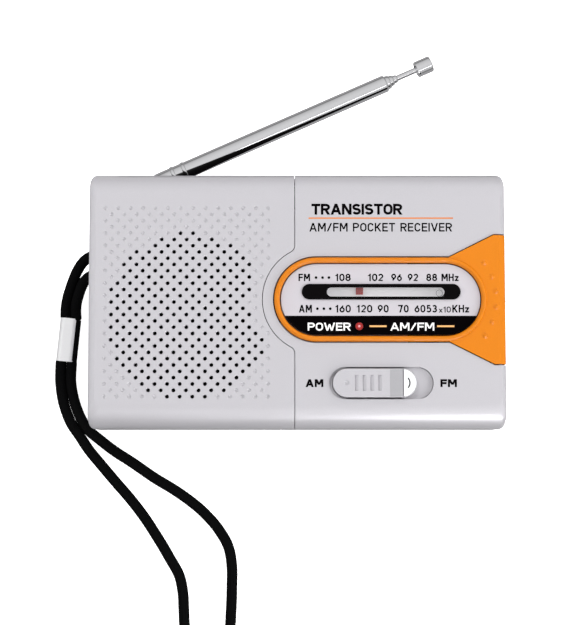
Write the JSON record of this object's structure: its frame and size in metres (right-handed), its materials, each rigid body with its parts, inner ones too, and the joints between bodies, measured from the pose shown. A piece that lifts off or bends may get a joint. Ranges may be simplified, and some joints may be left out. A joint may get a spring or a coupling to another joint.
{
  "type": "transistor pocket radio",
  "caption": "Pocket two-band transistor radio with a speaker grille, a dial and pointer driven by a thumbwheel, a slide switch, a telescopic aerial and a wrist strap.",
  "frame": {"origin": "middle of the case's flat back, on the plane that it lies on", "axes": "+X to the radio's right along its long side, +Y to its top edge where the aerial is hinged, +Z out of its front face"},
  "size_m": [0.1277, 0.1717, 0.0252],
  "materials": {
    "silver_plastic": "fine-textured silver moulding",
    "orange_plastic": "semi-gloss orange moulding",
    "white_plastic": "smooth white moulding",
    "black_plastic": "smooth black moulding",
    "dark_grey_plastic": "satin dark grey moulding",
    "red_plastic": "translucent red moulding",
    "clear_plastic": "clear moulding",
    "chrome": "bright plated",
    "steel": "plain zinc-plated steel",
    "brass": "turned brass",
    "ferrite": "sintered ferrite",
    "copper": "enamelled copper winding",
    "board": "green lacquered board",
    "cone": "pressed paper cone",
    "cell_sleeve": "printed film sleeve",
    "cord": "black woven cord"
  },
  "bodies": {
    "case": {"speaker_panel": "silver_plastic", "front_case": "silver_plastic", "back_case": "silver_plastic", "dial_surround": "orange_plastic", "dial_plate": "white_plastic", "dial_backing": "white_plastic", "pointer_window": "clear_plastic", "slot_bezel": "black_plastic", "power_led": "red_plastic", "dial_cord": "cord", "band_switch_body": "steel", "circuit_board": "board", "tuning_capacitor": "white_plastic", "volume_control": "steel", "if_transformer_1": "steel", "if_transformer_2": "steel", "radio_chip": "black_plastic", "capacitor": "dark_grey_plastic", "ferrite_rod": "ferrite", "ferrite_coil": "copper", "earphone_jack": "black_plastic", "speaker_basket": "steel", "speaker_cone": "cone", "speaker_magnet": "ferrite", "speaker_wire_1": "red_plastic", "speaker_wire_2": "black_plastic", "battery_1": "cell_sleeve", "battery_2": "cell_sleeve", "battery_spring_1": "steel", "battery_spring_2": "steel", "battery_contact_top": "steel", "battery_contact_bottom": "steel", "aerial_pivot_screw": "steel", "aerial_spring_washer": "steel", "case_screw_1": "steel", "case_screw_2": "steel", "case_screw_3": "steel", "case_screw_4": "steel", "strap_pin": "steel", "strap_eyelet_cord": "cord", "strap_ferrule": "chrome", "strap_hand_cord": "cord"},
    "tuning": {"tuning_wheel": "dark_grey_plastic", "tuning_shaft": "brass", "tuning_wheel_screw": "steel"},
    "pulley": {"dial_pulley": "white_plastic"},
    "pointer": {"dial_pointer": "red_plastic"},
    "volume": {"volume_wheel": "dark_grey_plastic", "volume_shaft": "brass", "volume_wheel_screw": "steel"},
    "band_switch": {"band_switch_button": "white_plastic"},
    "door": {"battery_door": "silver_plastic"},
    "aerial": {"aerial_foot": "chrome", "aerial_tube_1": "chrome"},
    "aerial_section_2": {"aerial_tube_2": "chrome"},
    "aerial_section_3": {"aerial_tube_3": "chrome"},
    "aerial_section_4": {"aerial_tube_4": "chrome"},
    "aerial_top": {"aerial_rod": "chrome", "aerial_tip": "chrome"}
  },
  "joints": [
    {"name": "tuning_turn", "type": "hinge", "parent": "case", "child": "tuning", "pos_m": [0.0464, 0, 0.0152], "axis": [0, 0, 1], "range_deg": [-145.3, 34.7]},
    {"name": "pulley_turn", "type": "hinge", "parent": "case", "child": "pulley", "pos_m": [0.0026, 0.00475, 0.0183], "axis": [0, 0, 1], "range_deg": [-376, 90]},
    {"name": "pointer_slide", "type": "slide", "parent": "case", "child": "pointer", "axis": [1, 0, 0], "range_m": [-0.0048, 0.0197]},
    {"name": "volume_turn", "type": "hinge", "parent": "case", "child": "volume", "pos_m": [0.0514, -0.0262, 0.0152], "axis": [0, 0, 1], "range_deg": [-150, 150]},
    {"name": "band_switch_slide", "type": "slide", "parent": "case", "child": "band_switch", "axis": [1, 0, 0], "range_m": [0, 0.004]},
    {"name": "battery_door_slide", "type": "slide", "parent": "case", "child": "door", "axis": [0, -1, 0], "range_m": [0, 0.056]},
    {"name": "aerial_fold", "type": "hinge", "parent": "case", "child": "aerial", "pos_m": [-0.0479, 0.032, 0.0055], "axis": [0, 0, 1], "range_deg": [-23.8, 86.1]},
    {"name": "aerial_slide_2", "type": "slide", "parent": "aerial", "child": "aerial_section_2", "axis": [0.9145, 0.4045, 0], "range_m": [0, 0.062]},
    {"name": "aerial_slide_3", "type": "slide", "parent": "aerial_section_2", "child": "aerial_section_3", "axis": [0.9145, 0.4045, 0], "range_m": [0, 0.062]},
    {"name": "aerial_slide_4", "type": "slide", "parent": "aerial_section_3", "child": "aerial_section_4", "axis": [0.9145, 0.4045, 0], "range_m": [0, 0.062]},
    {"name": "aerial_slide_5", "type": "slide", "parent": "aerial_section_4", "child": "aerial_top", "axis": [0.9145, 0.4045, 0], "range_m": [-0.0045, 0.062]}
  ],
  "couplings": [
    {"joint": "pointer_slide", "follows": "tuning_turn", "m_per_rad": -0.00775},
    {"joint": "pulley_turn", "follows": "tuning_turn", "ratio": 2.5833}
  ]
}
